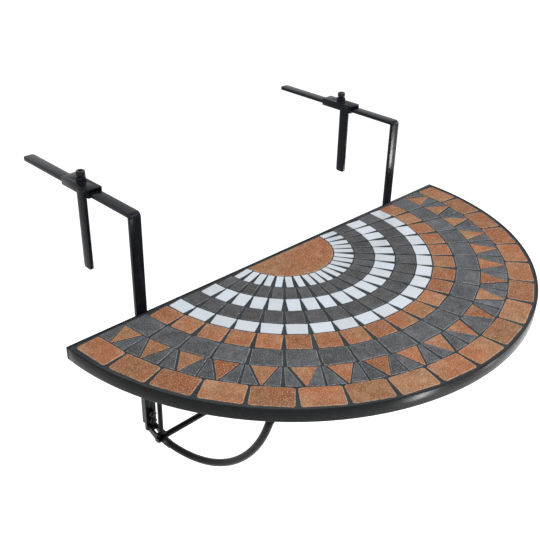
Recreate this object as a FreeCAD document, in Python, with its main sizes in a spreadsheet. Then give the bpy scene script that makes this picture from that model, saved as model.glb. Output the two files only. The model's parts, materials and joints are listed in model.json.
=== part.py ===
import FreeCAD, Part
import math
import os
import random
import re

# Half-round mosaic table that hangs on a balcony handrail.
# Frame: +Z up, +Y to the far side of the railing, the table on the -Y side.
# Origin: middle between the two hanging bars, on their undersides (the top of
# the handrail), at the back faces of the legs. Millimetres.

os.makedirs("parts", exist_ok=True)
doc = FreeCAD.newDocument("railing_table")
sheet = doc.addObject("Spreadsheet::Sheet", "sizes")

DRIVING = {
    "top_radius": 380,
    "top_drop": 140,
    "rim_height": 18,
    "rim_wall": 2.5,
    "back_bar_wall": 4,
    "back_gap": 2,
    "flat_width": 17,
    "flat_wall": 5,
    "arm_offset": 262,
    "arm_reach": 257,
    "knee_radius": 1.5,
    "bar_corner": 4,
    "leg_drop": 328,
    "plate_tail": 11,
    "plate_top_gap": 2,
    "tile_thick": 4.5,
    "joint_depth": 0.8,
    "bed_thick": 6,
    "sheet_thick": 1,
    "brace_width": 50,
    "brace_inset": 15,
    "brace_wall": 1.5,
    "brace_overrun": 3,
    "hinge_forward": 42,
    "hinge_below": 8,
    "hinge_pin_radius": 3,
    "hinge_barrel_radius": 5,
    "knuckle_radius": 6,
    "knuckle_width": 12,
    "hinge_play": 0.3,
    "bore_play": 0.06,
    "leaf_thick": 2.5,
    "leaf_length": 42,
    "lug_width": 15,
    "lug_thick": 5,
    "rod_radius": 3.5,
    "rod_forward": 27,
    "foot_forward": 27,
    "foot_below_leg": 14,
    "foot_radius": 6,
    "foot_root": 9,
    "foot_saddle": 3,
    "cross_radius": 4.5,
    "pin_tail": 12,
    "cheek_thick": 3,
    "foot_web": 5,
    "foot_pin_radius": 3,
    "foot_head_radius": 4.5,
    "foot_head_thick": 2,
    "tongue_width": 7,
    "tongue_length": 18,
    "tongue_overlap": 4,
    "tongue_flat": 0.6,
    "tongue_radius": 5.5,
    "bow_radius": 228,
    "bow_bend": 16,
    "bow_rod_radius": 5,
    "run_below": 2.1,
    "pad_thick": 2,
    "pad_length": 20,
    "pad_width": 20,
    "bolt_radius": 3,
    "bolt_head_radius": 6.5,
    "bolt_head_thick": 3,
    "nut_flats": 10,
    "nut_thick": 5,
    "washer_radius": 5.5,
    "washer_thick": 1.2,
    "bolt_pitch": 12,
    "bolt_edge": 6,
    "bolt_tail": 2,
    "upper_bolt_below": 44,
    "sleeve_width": 22,
    "sleeve_wall": 2,
    "sleeve_inner": 8,
    "sleeve_play": 0.1,
    "sleeve_length": 65,
    "sleeve_front": 84,
    "finger_inset": 3,
    "finger_drop": 110,
    "finger_corner": 4,
    "screw_radius": 4,
    "screw_hole_play": 0.5,
    "screw_head_radius": 6.25,
    "screw_head_thick": 7,
    "screw_key": 6,
    "screw_key_depth": 4,
    "screw_back": 32,
    "weld_nut_flats": 13,
    "weld_nut_thick": 7,
    "screw_clear": 1.5,
    "foot_pad_radius": 3.8,
    "foot_pad_thick": 2,
    "rivet_spread": 12,
    "rivet_near": 0.35,
    "rivet_far": 0.8,
    "rivet_radius": 2.5,
    "rivet_head_radius": 4.5,
    "rivet_head_thick": 1.8,
    "rim_joint": 3,
    "ring_joint": 1.5,
    "border_depth": 36,
    "zigzag_depth": 37.5,
    "slate_depth": 34,
    "clay_depth": 32.5,
    "white_c_depth": 23,
    "dark_b_depth": 29.5,
    "white_b_depth": 30,
    "dark_a_depth": 29,
    "white_a_depth": 30,
    "ring_centre": 3,
    "back_joint": 2.5,
    "tile_joint": 1.6,
    "tile_wander": 0.35,
    "tile_shift": 0.5,
    "tile_lean": 0.05,
    "tile_swing": 0.5,
    "white_taper": 0.1,
    "dark_taper": 0.35,
    "clay_taper": 0.2,
    "slate_taper": 0.7,
    "border_taper": 0.6,
    "ring_tiles": 20,
    "border_tiles": 19,
    "triangle_base": 33,
    "triangle_tip": 1.5,
    "triangle_gap": 2.2,
    "triangle_lean": 0.006,
    "piece_taper": 2.2,
    "border_corner": 4,
    "trim_margin": 10,
}

# Rings of the mosaic, from the rim inwards.
BANDS = ("border", "zigzag", "slate", "clay", "white_c", "dark_b", "white_b",
         "dark_a", "white_a")

DERIVED = {
    "plate_drop": "=leg_drop + plate_tail",
    "foot_drop": "=leg_drop + foot_below_leg",
    "upper_bolt_drop": "=top_drop + rim_height + upper_bolt_below",
    "middle_bolt_drop": "=leg_drop - bolt_edge - bolt_pitch",
    "lower_bolt_drop": "=leg_drop - bolt_edge",
    "surface_z": "=-top_drop",
    "rim_floor_z": "=surface_z - rim_height",
    "tile_floor_z": "=surface_z - tile_thick",
    "joint_z": "=surface_z - joint_depth",
    "bed_floor_z": "=tile_floor_z - bed_thick",
    "sheet_floor_z": "=bed_floor_z - sheet_thick",
    "top_back_y": "=-flat_wall - back_gap",
    "bar_front_y": "=top_back_y - back_bar_wall",
    "plate_front_y": "=-flat_wall - flat_wall",
    "hinge_y": "=-flat_wall - hinge_forward",
    "hinge_z": "=rim_floor_z - hinge_below",
    "rod_y": "=-flat_wall - rod_forward",
    "foot_y": "=-flat_wall - foot_forward",
    "foot_z": "=-foot_drop",
    "saddle_top_z": "=foot_z + foot_radius + foot_saddle",
    "run_z": "=rim_floor_z - run_below - bow_rod_radius",
    "rod_top_z": "=hinge_z - lug_thick / 2",
    "bow_centre_z": "=foot_z + bow_radius",
    "sleeve_floor_z": "=-sleeve_play - sleeve_wall",
    "sleeve_height": "=sleeve_play + sleeve_inner + 2 * sleeve_wall",
    "sleeve_top_z": "=sleeve_floor_z + sleeve_height",
    "pad_floor_z": "=flat_wall + bore_play",
    "shank_floor_z": "=pad_floor_z + foot_pad_thick",
    "head_floor_z": "=sleeve_top_z + weld_nut_thick + screw_clear",
    "screw_y": "=sleeve_front + screw_back",
}

outwards = "top_radius - rim_wall - ring_centre - rim_joint"
for band in BANDS:
    DERIVED[f"{band}_outer"] = f"={outwards}"
    DERIVED[f"{band}_inner"] = f"={band}_outer - {band}_depth"
    outwards = f"{band}_inner - ring_joint"
DERIVED["disc_outer"] = f"={outwards}"

SIZES = {**DRIVING, **DERIVED}
for row, (alias, value) in enumerate(SIZES.items(), start=1):
    sheet.set(f"A{row}", alias)
    sheet.set(f"B{row}", str(value))
    sheet.setAlias(f"B{row}", alias)
doc.recompute()

V = FreeCAD.Vector
SIDES = (("left", "-"), ("right", ""))
ALONG_X = FreeCAD.Rotation(V(0, 1, 0), 90)
ALONG_Y = FreeCAD.Rotation(V(1, 0, 0), -90)
UPRIGHT = FreeCAD.Rotation()
exported = []


def size(alias):
    return float(sheet.get(alias))


def named(expression):
    """Point every size word of an expression at the sheet."""
    return re.sub(r"[a-z_]+",
                  lambda word: f"sizes.{word[0]}" if word[0] in SIZES else word[0],
                  expression)


def bind(obj, values):
    for name, expression in values.items():
        obj.setExpression(name, named(str(expression)))
    return obj


def place(obj, at, rotation=UPRIGHT):
    obj.Placement = FreeCAD.Placement(V(), rotation)
    axes = ("Placement.Base.x", "Placement.Base.y", "Placement.Base.z")
    return bind(obj, dict(zip(axes, at)))


def box(label, at, extent):
    obj = doc.addObject("Part::Box", label)
    bind(obj, dict(zip(("Length", "Width", "Height"), extent)))
    return place(obj, at)


def cylinder(label, radius, length, at, rotation=UPRIGHT, angle=None):
    obj = doc.addObject("Part::Cylinder", label)
    bind(obj, {"Radius": radius, "Height": length})
    if angle:
        obj.Angle = angle
    return place(obj, at, rotation)


def hexagon(label, flats, length, at, rotation=UPRIGHT):
    obj = doc.addObject("Part::Prism", label)
    obj.Polygon = 6
    bind(obj, {"Circumradius": f"{flats} / sqrt(3)", "Height": length})
    return place(obj, at, rotation)


def bend(label, radius, tube, sweep, at, rotation):
    """Part of a bent round rod, swept from its local X axis to its local Y."""
    obj = doc.addObject("Part::Torus", label)
    bind(obj, {"Radius1": radius, "Radius2": tube})
    obj.Angle3 = sweep
    return place(obj, at, rotation)


def cheek(label, x):
    """Side plate of a foot lug, slanting from the front plate to the pin."""
    obj = doc.addObject("Part::Wedge", label)
    bind(obj, {"Xmin": x, "X2min": x, "Xmax": f"{x} + cheek_thick",
               "X2max": f"{x} + cheek_thick",
               "Ymin": "foot_y", "Ymax": "plate_front_y",
               "Zmin": "foot_z - foot_radius", "Zmax": "foot_z + foot_radius",
               "Z2min": "-plate_drop", "Z2max": "-plate_drop + foot_root"})
    return obj


def round_edges(label, blank, radius, chosen):
    """Fillet along those edges of a blank whose bounds pass a test."""
    obj = doc.addObject("Part::Fillet", label)
    obj.Base = blank
    doc.recompute()
    radius = size(radius)
    edges = []
    for number, edge in enumerate(blank.Shape.Edges, start=1):
        if chosen(edge.BoundBox):
            edges.append((number, radius, radius))
    obj.Edges = edges
    return obj


def fuse(label, shapes):
    obj = doc.addObject("Part::MultiFuse", label)
    obj.Shapes = shapes
    obj.Refine = True
    return obj


def cut(label, base, tool):
    obj = doc.addObject("Part::Cut", label)
    obj.Base = base
    obj.Tool = tool
    obj.Refine = True
    return obj


def common(label, base, tool):
    obj = doc.addObject("Part::Common", label)
    obj.Base = base
    obj.Tool = tool
    return obj


def group(label, shapes):
    obj = doc.addObject("Part::Compound", label)
    obj.Links = shapes
    return obj


def node(obj):
    exported.append(obj)
    return obj


BOLT_DROPS = ("upper_bolt_drop", "middle_bolt_drop", "lower_bolt_drop")


# Hanging bars: one flat bar each, bent down at the knee into the leg.
def at_bar_end(bounds):
    upright = bounds.ZLength > bounds.XLength + bounds.YLength
    return upright and bounds.YMin > size("arm_reach") / 2


for side, sign in SIDES:
    x = f"{sign}arm_offset - flat_width / 2"
    knee = ("knee_radius", "-knee_radius")
    bar = box(f"{side}_bar_blank", (x, "knee_radius", "0"),
              ("flat_width", "arm_reach - knee_radius", "flat_wall"))
    bar = round_edges(f"{side}_bar_run", bar, "bar_corner", at_bar_end)
    leg = box(f"{side}_leg_run", (x, "-flat_wall", "-leg_drop"),
              ("flat_width", "flat_wall", "leg_drop - knee_radius"))
    turn = FreeCAD.Rotation(V(0, 0, 1), V(0, -1, 0), V(1, 0, 0), "XYZ")
    outer = cylinder(f"{side}_knee_outer", "knee_radius + flat_wall",
                     "flat_width", (x, *knee), turn, angle=90)
    inner = cylinder(f"{side}_knee_inner", "knee_radius",
                     "flat_width", (x, *knee), turn, angle=90)
    elbow = cut(f"{side}_knee", outer, inner)
    blank = fuse(f"{side}_hanger_blank", [bar, leg, elbow])

    plate = box(f"{side}_plate_blank", (x, "plate_front_y", "-plate_drop"),
                ("flat_width", "flat_wall",
                 "plate_drop + rim_floor_z - plate_top_gap"))
    holes = []
    for number, drop in enumerate(BOLT_DROPS, start=1):
        holes.append(cylinder(f"{side}_bolt_hole_{number}", "bolt_radius",
                              "2 * flat_wall",
                              (f"{sign}arm_offset", "plate_front_y",
                               f"-{drop}"), ALONG_Y))
    holes = group(f"{side}_bolt_holes", holes)
    node(cut(f"{side}_hanger", blank, holes))
    node(cut(f"{side}_front_plate", plate, holes))


# Plate bolts: round heads behind the legs, nuts on washers in front.
bolts = []
nuts = []
washers = []
for side, sign in SIDES:
    for number, drop in enumerate(BOLT_DROPS, start=1):
        tag = f"{side}_{number}"
        x = f"{sign}arm_offset"
        z = f"-{drop}"
        front = "plate_front_y - washer_thick - nut_thick - bolt_tail"
        shank = cylinder(f"bolt_shank_{tag}", "bolt_radius",
                         "2 * flat_wall + washer_thick + nut_thick + bolt_tail",
                         (x, front, z), ALONG_Y)
        head = cylinder(f"bolt_head_{tag}", "bolt_head_radius",
                        "bolt_head_thick", (x, "0", z), ALONG_Y)
        bolts.append(fuse(f"bolt_{tag}", [shank, head]))
        hole = cylinder(f"nut_hole_{tag}", "bolt_radius",
                        "nut_thick + washer_thick",
                        (x, "plate_front_y - washer_thick - nut_thick", z),
                        ALONG_Y)
        blank = hexagon(f"nut_blank_{tag}", "nut_flats", "nut_thick",
                        (x, "plate_front_y - washer_thick - nut_thick", z),
                        ALONG_Y)
        nuts.append(cut(f"nut_{tag}", blank, hole))
        disc = cylinder(f"washer_blank_{tag}", "washer_radius",
                        "washer_thick",
                        (x, "plate_front_y - washer_thick", z), ALONG_Y)
        washers.append(cut(f"washer_{tag}", disc, hole))
node(group("plate_bolts", bolts))
node(group("plate_nuts", nuts))
node(group("plate_washers", washers))


# Stay rods: upright, from the hinge lug down to the saddle of the foot lug.
for side, sign in SIDES:
    node(cylinder(f"{side}_stay_rod", "rod_radius", "rod_top_z - saddle_top_z",
                  (f"{sign}arm_offset", "rod_y", "saddle_top_z")))


# Hinge lugs: flat steel from the front plate to a barrel under the top.
hinge_pins = []
for side, sign in SIDES:
    x = f"{sign}arm_offset - lug_width / 2"
    strap = box(f"{side}_lug_strap", (x, "hinge_y", "rod_top_z"),
                ("lug_width", "plate_front_y - hinge_y", "lug_thick"))
    barrel = cylinder(f"{side}_lug_barrel", "hinge_barrel_radius",
                      "lug_width", (x, "hinge_y", "hinge_z"), ALONG_X)
    hole = cylinder(f"{side}_lug_hole", "hinge_pin_radius", "lug_width",
                    (x, "hinge_y", "hinge_z"), ALONG_X)
    blank = fuse(f"{side}_lug_blank", [strap, barrel])
    node(cut(f"{side}_hinge_lug", blank, hole))

    half = "(lug_width / 2 + hinge_play + knuckle_width + hinge_play)"
    pin_x = f"{sign}arm_offset - {half}"
    pin = cylinder(f"{side}_hinge_shaft", "hinge_pin_radius", f"2 * {half}",
                   (pin_x, "hinge_y", "hinge_z"), ALONG_X)
    caps = []
    for end, cap_x in (("a", f"{pin_x} - leaf_thick"),
                       ("b", f"{sign}arm_offset + {half}")):
        caps.append(cylinder(f"{side}_hinge_cap_{end}",
                             "hinge_barrel_radius", "leaf_thick",
                             (cap_x, "hinge_y", "hinge_z"), ALONG_X))
    hinge_pins.append(fuse(f"{side}_hinge_pin", [pin, *caps]))
node(group("hinge_pins", hinge_pins))


# Foot lugs: two slanting cheeks, a web at the plate and a saddle for the rod.
foot_pins = []
for side, sign in SIDES:
    centre = f"{sign}arm_offset"
    gap = "(tongue_width / 2 + hinge_play)"
    half = f"({gap} + cheek_thick)"
    pieces = [box(f"{side}_foot_web",
                  (f"{centre} - {gap}", "plate_front_y - foot_web",
                   "-plate_drop"),
                  (f"2 * {gap}", "foot_web", "foot_root")),
              box(f"{side}_foot_saddle",
                  (f"{centre} - {half}", "foot_y - rod_radius",
                   "foot_z + foot_radius"),
                  (f"2 * {half}", "2 * rod_radius", "foot_saddle"))]
    for end, cheek_x in (("a", f"{centre} - {half}"),
                         ("b", f"{centre} + {gap}")):
        pieces.append(cheek(f"{side}_cheek_{end}", cheek_x))
        pieces.append(cylinder(f"{side}_cheek_nose_{end}", "foot_radius",
                               "cheek_thick", (cheek_x, "foot_y", "foot_z"),
                               ALONG_X))
    blank = fuse(f"{side}_foot_blank", pieces)
    hole = cylinder(f"{side}_foot_hole", "foot_pin_radius", f"2 * {half}",
                    (f"{centre} - {half}", "foot_y", "foot_z"), ALONG_X)
    node(cut(f"{side}_foot_lug", blank, hole))

    tail_x = f"{centre} - {half}" if sign else f"{centre} - {half} - pin_tail"
    cap_x = (f"{centre} - {half} - foot_head_thick" if sign
             else f"{centre} + {half}")
    shaft = cylinder(f"{side}_foot_shaft", "foot_pin_radius",
                     f"2 * {half} + pin_tail", (tail_x, "foot_y", "foot_z"),
                     ALONG_X)
    cap = cylinder(f"{side}_foot_cap", "foot_head_radius", "foot_head_thick",
                   (cap_x, "foot_y", "foot_z"), ALONG_X)
    foot_pins.append(fuse(f"{side}_foot_pin", [shaft, cap]))
pins = node(group("bow_pins", foot_pins))
rod = cylinder("cross_rod_blank", "cross_radius", f"2 * (arm_offset - {half})",
               (f"-arm_offset + {half}", "foot_y", "foot_z"), ALONG_X)
node(cut("foot_cross_rod", rod, pins))


# Support bow: one round rod, bent into two arms and the run between them.
rise = size("run_z") - size("foot_z")
bow_radius = size("bow_radius")
bow_bend = size("bow_bend")
bow_sweep = (math.acos((bow_radius - rise) / math.hypot(bow_radius, bow_bend))
             - math.atan2(bow_bend, bow_radius))
arc_end_y = size("foot_y") - bow_radius * math.sin(bow_sweep)
arc_end_z = size("foot_z") + bow_radius * (1 - math.cos(bow_sweep))
onward = V(0, -math.cos(bow_sweep), math.sin(bow_sweep))
run_y = arc_end_y + bow_bend * onward.y
tongue_sweep = size("tongue_length") / bow_radius
node(cylinder("bow_cross_run", "bow_rod_radius",
              "2 * (arm_offset - bow_bend)",
              ("-arm_offset + bow_bend", run_y, "run_z"), ALONG_X))
for side, sign in SIDES:
    centre = f"{sign}arm_offset"
    base = FreeCAD.Rotation(V(0, 0, -1), V(0, -1, 0), V(-1, 0, 0), "XYZ")
    start = FreeCAD.Rotation(V(0, 0, 1), math.degrees(tongue_sweep))
    arc = bend(f"{side}_bow_arc", "bow_radius", "bow_rod_radius",
               math.degrees(bow_sweep - tongue_sweep),
               (centre, "foot_y", "bow_centre_z"), base * start)
    outward = V(-1, 0, 0) if sign else V(1, 0, 0)
    inward = "+" if sign else "-"
    turn = FreeCAD.Rotation(outward, onward, outward.cross(onward), "XYZ")
    corner = bend(f"{side}_bow_corner", "bow_bend", "bow_rod_radius", 90,
                  (f"{centre} {inward} bow_bend", arc_end_y, arc_end_z), turn)
    tongue = box(f"{side}_bow_tongue",
                 (f"{centre} - tongue_width / 2",
                  "foot_y - tongue_length - tongue_overlap",
                  "foot_z - bow_rod_radius + tongue_flat"),
                 ("tongue_width", "tongue_length + tongue_overlap",
                  "2 * bow_rod_radius - tongue_flat"))
    eye = cylinder(f"{side}_bow_eye", "tongue_radius", "tongue_width",
                   (f"{centre} - tongue_width / 2", "foot_y", "foot_z"),
                   ALONG_X)
    blank = fuse(f"{side}_bow_blank", [arc, corner, tongue, eye])
    hole = cylinder(f"{side}_bow_hole", "foot_pin_radius + bore_play",
                    "tongue_width",
                    (f"{centre} - tongue_width / 2", "foot_y", "foot_z"),
                    ALONG_X)
    node(cut(f"{side}_bow_arm", blank, hole))


# Metal tray of the top: hoop, back bar and bottom sheet.
def half_disc(label, radius, floor, thick):
    disc = cylinder(f"{label}_disc", radius, thick,
                    ("0", "top_back_y", floor))
    keep = box(f"{label}_keep",
               ("-top_radius - trim_margin",
                "bar_front_y - top_radius - trim_margin", floor),
               ("2 * (top_radius + trim_margin)", "top_radius + trim_margin",
                thick))
    return common(label, disc, keep)


solid = half_disc("rim_outer", "top_radius", "rim_floor_z", "rim_height")
hollow = cylinder("rim_inner", "top_radius - rim_wall", "rim_height",
                  ("0", "top_back_y", "rim_floor_z"))
node(cut("rim_hoop", solid, hollow))
node(box("back_bar", ("-top_radius", "bar_front_y", "rim_floor_z"),
         ("2 * top_radius", "back_bar_wall", "rim_height")))
node(half_disc("bottom_sheet", "top_radius - rim_wall", "sheet_floor_z",
               "sheet_thick"))
node(half_disc("mortar_bed", "top_radius - rim_wall", "bed_floor_z",
               "bed_thick"))


# Braces: flat tubes under the sheet, from the back bar to the bow's run.
brace_length = (size("bar_front_y") - run_y + size("pad_length") / 2
                + size("brace_overrun"))
rivets = []
for side, sign in SIDES:
    depth = "(sheet_floor_z - rim_floor_z)"
    inward = "+" if sign else "-"
    brace_x = f"{sign}arm_offset {inward} brace_inset - brace_width / 2"
    shell = box(f"{side}_brace_shell",
                (brace_x, f"bar_front_y - {brace_length}", "rim_floor_z"),
                ("brace_width", brace_length, depth))
    core = box(f"{side}_brace_core",
               (f"{brace_x} + brace_wall",
                f"bar_front_y - {brace_length}", "rim_floor_z + brace_wall"),
               ("brace_width - 2 * brace_wall", brace_length,
                f"{depth} - 2 * brace_wall"))
    blank = cut(f"{side}_brace_blank", shell, core)

    half = "(lug_width / 2 + hinge_play + knuckle_width)"
    flaps = [box(f"{side}_leaf_plate",
                 (f"{sign}arm_offset - {half}", "hinge_y - leaf_length",
                  "rim_floor_z - leaf_thick"),
                 (f"2 * {half}", "leaf_length", "leaf_thick"))]
    bores = []
    for end, knuckle_x in (("a", f"{sign}arm_offset - {half}"),
                           ("b", f"{sign}arm_offset + {half}"
                                 " - knuckle_width")):
        flaps.append(cylinder(f"{side}_knuckle_{end}", "knuckle_radius",
                              "knuckle_width",
                              (knuckle_x, "hinge_y", "hinge_z"), ALONG_X))
        flaps.append(box(f"{side}_knuckle_web_{end}",
                         (knuckle_x, "hinge_y - knuckle_radius", "hinge_z"),
                         ("knuckle_width", "2 * knuckle_radius",
                          "rim_floor_z - hinge_z")))
        bores.append(cylinder(f"{side}_knuckle_bore_{end}",
                              "hinge_pin_radius + bore_play",
                              "knuckle_width",
                              (knuckle_x, "hinge_y", "hinge_z"), ALONG_X))
    fasteners = []
    for number, (across, back) in enumerate(
            (("-", "rivet_near"), ("+", "rivet_near"),
             ("-", "rivet_far"), ("+", "rivet_far")), start=1):
        x = f"{sign}arm_offset {across} rivet_spread / 2"
        y = f"hinge_y - {back} * leaf_length"
        tag = f"{side}_{number}"
        shank = cylinder(f"rivet_shank_{tag}", "rivet_radius",
                         "leaf_thick + brace_wall",
                         (x, y, "rim_floor_z - leaf_thick"))
        low = cylinder(f"rivet_low_{tag}", "rivet_head_radius",
                       "rivet_head_thick",
                       (x, y, "rim_floor_z - leaf_thick - rivet_head_thick"))
        high = cylinder(f"rivet_high_{tag}", "rivet_head_radius",
                        "rivet_head_thick",
                        (x, y, "rim_floor_z + brace_wall"))
        fasteners.append(fuse(f"rivet_{tag}", [shank, low, high]))
    tools = group(f"{side}_rivet_tools", fasteners)
    rivets.extend(fasteners)
    node(cut(f"{side}_brace", blank, tools))
    blank = fuse(f"{side}_leaf_blank", flaps)
    node(cut(f"{side}_hinge_leaf", blank,
             group(f"{side}_leaf_tools", [*bores, *fasteners])))
node(group("leaf_rivets", rivets))


# Rubber pads under the braces, where the bow's run bears.
pads = []
for side, sign in SIDES:
    inward = "+" if sign else "-"
    pads.append(box(f"{side}_rest_pad",
                    (f"{sign}arm_offset {inward} (bow_bend + pad_width / 2)"
                     " - pad_width / 2",
                     f"{run_y} - pad_length / 2",
                     "rim_floor_z - pad_thick"),
                    ("pad_width", "pad_length", "pad_thick")))
node(group("rest_pads", pads))


# Mosaic: hand-laid tiles in half rings round the middle of the back edge.
SEED = 26
rng = random.Random(SEED)
CENTRE_Y = size("top_back_y") - size("ring_centre")
BACK_Y = size("bar_front_y") - size("back_joint")
FLOOR_Z = size("tile_floor_z")
THICK = size("tile_thick")
JOINT = size("tile_joint")


def turned(points, angle):
    """Points (across, outwards) of a tile, placed at its ring angle."""
    out = []
    for across, outwards in points:
        x = outwards * math.cos(angle) - across * math.sin(angle)
        y = outwards * math.sin(angle) + across * math.cos(angle)
        out.append(V(x, CENTRE_Y - y, FLOOR_Z))
    return out


def tile(points):
    face = Part.Face(Part.makePolygon([*points, points[0]]))
    return face.extrude(V(0, 0, THICK))


def back_trim():
    reach = 2 * size("top_radius")
    return Part.makeBox(2 * reach, reach, 2 * THICK,
                        V(-reach, BACK_Y, FLOOR_Z - THICK / 2))


def laid(label, solids):
    """One node of separate tiles, trimmed along the back joint."""
    trim = back_trim()
    kept = []
    for solid in solids:
        if solid.BoundBox.YMax > BACK_Y:
            solid = solid.cut(trim)
        kept.extend(solid.Solids)
    obj = doc.addObject("Part::Feature", label)
    obj.Shape = Part.makeCompound(kept)
    return node(obj)


def quad(inner, outer, width_in, width_out, angle):
    """A tile with its own shift, uneven ends and a lean about its inner end."""
    wander = size("tile_wander")
    swing = min(size("tile_lean"), 2 * size("tile_swing") / width_out)
    lean = rng.uniform(-swing, swing)
    shift = rng.uniform(-size("tile_shift"), size("tile_shift"))
    half_in = width_in / 2
    half_out = width_out / 2
    slack = [rng.uniform(0, wander) for _ in range(8)]
    corners = [(-half_in + slack[0], inner + slack[1]),
               (half_in - slack[2], inner + slack[3]),
               (half_out - slack[4], outer - slack[5]),
               (-half_out + slack[6], outer - slack[7])]
    leaning = []
    for across, outwards in corners:
        leaning.append((across - lean * (outwards - inner) + shift,
                        outwards + lean * across))
    return turned(leaning, angle)


def rounded(solid, radius):
    """The tile with its upright edges rounded."""
    upright = [e for e in solid.Edges
               if abs(e.tangentAt(e.FirstParameter).z) > 0.5]
    return solid.makeFillet(radius, upright)


def ring(label, band, taper, count, corner=0):
    inner = size(f"{band}_inner")
    outer = size(f"{band}_outer")
    start = math.asin(2 * (CENTRE_Y - BACK_Y) / (inner + outer))
    step = (math.pi - 2 * start) / count
    width_in = inner * step - JOINT
    width_out = width_in + size(taper) * (outer - inner) * step
    solids = []
    for number in range(count):
        solid = tile(quad(inner, outer, width_in, width_out,
                          start + (number + 0.5) * step))
        if corner:
            solid = rounded(solid, corner)
        solids.append(solid)
    return laid(label, solids)


disc = Part.makeCylinder(size("disc_outer"), THICK, V(0, CENTRE_Y, FLOOR_Z))
centre = laid("centre_half_disc", [disc])
count = int(size("ring_tiles"))
tiles = [centre]
for label, band, taper in (("inner_white_ring", "white_a", "white_taper"),
                           ("inner_dark_ring", "dark_a", "dark_taper"),
                           ("middle_white_ring", "white_b", "white_taper"),
                           ("outer_dark_ring", "dark_b", "dark_taper"),
                           ("outer_white_ring", "white_c", "white_taper"),
                           ("clay_ring", "clay", "clay_taper"),
                           ("slate_ring", "slate", "slate_taper")):
    tiles.append(ring(label, band, taper, count))
tiles.append(ring("border_ring", "border", "border_taper",
                  int(size("border_tiles")), corner=size("border_corner")))


# Zigzag band: clay triangles pointing outwards, slate pieces between them.
inner = size("zigzag_inner")
outer = size("zigzag_outer")
base = size("triangle_base") / 2
tip = size("triangle_tip") / 2
step = math.pi / count
half_in = inner * math.tan(step / 2)
half_out = outer * math.tan(step / 2)
slope_gap = JOINT / 2
triangle_gap = size("triangle_gap")
triangles = []
slates = []
for number in range(count):
    angle = (number + 0.5) * step
    swing = size("triangle_lean")
    lean = rng.uniform(-swing, swing)
    triangles.append(tile(turned([(-base, inner), (base, inner),
                                  (tip, outer), (-tip, outer)],
                                 angle + lean)))
    for hand in (-1, 1):
        far = half_out - slope_gap - rng.uniform(0, size("piece_taper"))
        corners = [(hand * (base + triangle_gap), inner),
                   (hand * (half_in - slope_gap), inner),
                   (hand * far, outer),
                   (hand * (tip + triangle_gap), outer)]
        if hand < 0:
            corners.reverse()
        slates.append(tile(turned(corners, angle)))
tiles.append(laid("clay_triangles", triangles))
tiles.append(laid("slate_pieces", slates))

level = half_disc("grout_level", "top_radius - rim_wall", "tile_floor_z",
                  "tile_thick - joint_depth")
joints = doc.addObject("Part::Cut", "grout_joints")
joints.Base = level
joints.Tool = group("all_tiles", tiles)
node(joints)


# Clamps: a sleeve on each bar with a finger, a weld nut and a screw.
def at_finger_tip(bounds):
    return bounds.XLength > bounds.YLength + bounds.ZLength and bounds.ZMin < 0


for side, sign in SIDES:
    centre = f"{sign}arm_offset"
    shell = box(f"{side}_sleeve_shell",
                (f"{centre} - sleeve_width / 2", "sleeve_front",
                 "sleeve_floor_z"),
                ("sleeve_width", "sleeve_length", "sleeve_height"))
    core = box(f"{side}_sleeve_core",
               (f"{centre} - sleeve_width / 2 + sleeve_wall",
                "sleeve_front", "-sleeve_play"),
               ("sleeve_width - 2 * sleeve_wall", "sleeve_length",
                "sleeve_play + sleeve_inner"))
    hole = cylinder(f"{side}_sleeve_hole", "screw_radius + screw_hole_play",
                    "2 * sleeve_wall",
                    (centre, "screw_y", "sleeve_inner - sleeve_wall / 2"))
    node(cut(f"{side}_sleeve", shell,
             group(f"{side}_sleeve_tools", [core, hole])))

    blade = box(f"{side}_finger_blade",
                (f"{centre} - sleeve_width / 2 - flat_wall",
                 "sleeve_front + finger_inset", "-finger_drop"),
                ("flat_wall", "flat_width",
                 "finger_drop + sleeve_top_z - sleeve_wall"))
    node(round_edges(f"{side}_finger", blade, "finger_corner", at_finger_tip))

    blank = hexagon(f"{side}_nut_blank", "weld_nut_flats", "weld_nut_thick",
                    (centre, "screw_y", "sleeve_top_z"))
    bore = cylinder(f"{side}_nut_bore", "screw_radius + bore_play",
                    "weld_nut_thick", (centre, "screw_y", "sleeve_top_z"))
    node(cut(f"{side}_weld_nut", blank, bore))

    shank = cylinder(f"{side}_screw_shank", "screw_radius",
                     "head_floor_z - shank_floor_z",
                     (centre, "screw_y", "shank_floor_z"))
    head = cylinder(f"{side}_screw_head", "screw_head_radius",
                    "screw_head_thick", (centre, "screw_y", "head_floor_z"))
    key = hexagon(f"{side}_screw_key", "screw_key", "screw_key_depth",
                  (centre, "screw_y",
                   "head_floor_z + screw_head_thick - screw_key_depth"))
    blank = fuse(f"{side}_screw_blank", [shank, head])
    node(cut(f"{side}_clamp_screw", blank, key))
    node(cylinder(f"{side}_screw_pad", "foot_pad_radius", "foot_pad_thick",
                  (centre, "screw_y", "pad_floor_z")))


doc.recompute()
for obj in doc.Objects:
    bad = [word for word in obj.State if word in ("Invalid", "Error")]
    if bad:
        raise RuntimeError(f"{obj.Label}: {bad}")
for obj in exported:
    shape = obj.Shape
    if shape.isNull() or not shape.isValid() or not shape.Solids:
        raise RuntimeError(f"{obj.Label} has no valid solid")
    shape.exportStep(f"parts/{obj.Label}.step")
    print(obj.Label, len(shape.Solids), round(shape.Volume, 1))
print("nodes", len(exported))
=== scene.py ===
# %% [markdown]
# # A mosaic table that hangs on a balcony railing
#
# We dress a finished model of a half-round railing table. The solid parts
# arrive already built, so this lesson is about what makes them look real:
# softened steel edges, hand-laid tiles, sandy grout, weld beads, screw
# threads, and the finishes of lacquer, glaze and fired clay.

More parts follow.
